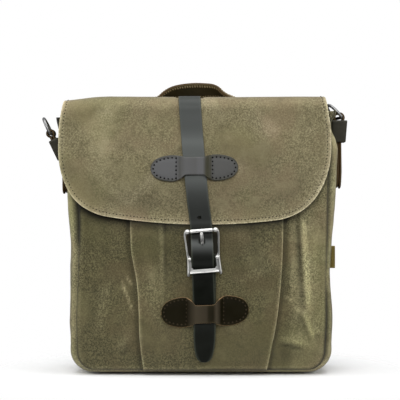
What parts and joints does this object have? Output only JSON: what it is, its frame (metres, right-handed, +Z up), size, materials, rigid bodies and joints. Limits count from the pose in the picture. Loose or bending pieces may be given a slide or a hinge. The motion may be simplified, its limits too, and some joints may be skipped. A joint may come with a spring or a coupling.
{
  "type": "waxed canvas shoulder bag",
  "caption": "Upright waxed canvas shoulder bag with pleated front, round-cornered flap, buckled leather strap with stitched keepers, top handle and side D-rings.",
  "frame": {"origin": "middle of the flat base that the bag stands on", "axes": "+Z up, the front with the buckle faces -Y, +X to the right as seen from the front"},
  "size_m": [0.3192, 0.1264, 0.3027],
  "materials": {
    "body_canvas": "waxed, dark olive brown",
    "flap_canvas": "waxed, olive tan",
    "black_leather": "smooth, near black",
    "grey_leather": "smooth, dark grey",
    "brown_leather": "oiled, dark brown",
    "nickel": "bright nickel plate",
    "steel": "dull steel"
  },
  "bodies": {
    "bag": {"back_panel": "body_canvas", "gusset": "body_canvas", "front_panel": "body_canvas", "flap": "flap_canvas", "centre_strap": "black_leather", "upper_keeper": "grey_leather", "lower_keeper": "brown_leather", "buckle_chape": "black_leather", "buckle_frame": "nickel", "buckle_roller": "nickel", "buckle_prong": "nickel", "handle": "brown_leather", "left_side_strap": "brown_leather", "left_sleeve": "grey_leather", "right_side_strap": "brown_leather", "right_sleeve": "grey_leather", "side_tab": "brown_leather"},
    "left_ring_body": {"left_ring": "steel"},
    "right_ring_body": {"right_ring": "steel"}
  },
  "joints": [
    {"name": "left_ring_swing", "type": "hinge", "parent": "bag", "child": "left_ring_body", "pos_m": [-0.1573, 0, 0.2475], "axis": [0, 1, 0], "range_deg": [-100, 60]},
    {"name": "right_ring_swing", "type": "hinge", "parent": "bag", "child": "right_ring_body", "pos_m": [0.1442, 0, 0.2638], "axis": [-0.2079, 0.9781, 0], "range_deg": [-2, 137]}
  ]
}
